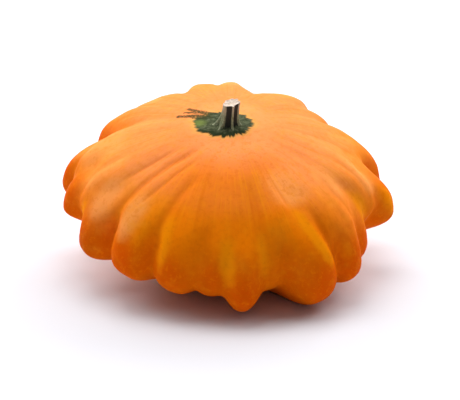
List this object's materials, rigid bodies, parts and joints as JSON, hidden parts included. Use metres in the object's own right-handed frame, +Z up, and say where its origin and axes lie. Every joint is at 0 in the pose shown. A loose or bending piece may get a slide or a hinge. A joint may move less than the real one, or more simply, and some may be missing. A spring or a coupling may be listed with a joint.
{
  "type": "pattypan squash",
  "caption": "Flat, domed pattypan squash with a deeply lobed rim, ripe orange skin, a green mark round the stem end and a short ribbed, cut stem stub.",
  "frame": {"origin": "centre of the bounding box's bottom, on the surface the squash rests on", "axes": "+Z up; the squash lies on its underside with its stem end leaning 14 degrees towards -Y, the side that faces the viewer"},
  "size_m": [0.161, 0.1476, 0.0888],
  "materials": {
    "squash_skin": "satin",
    "stem_skin": "matte"
  },
  "bodies": {
    "root": {"squash_fruit": "squash_skin", "stem_stub": "stem_skin"}
  },
  "joints": []
}
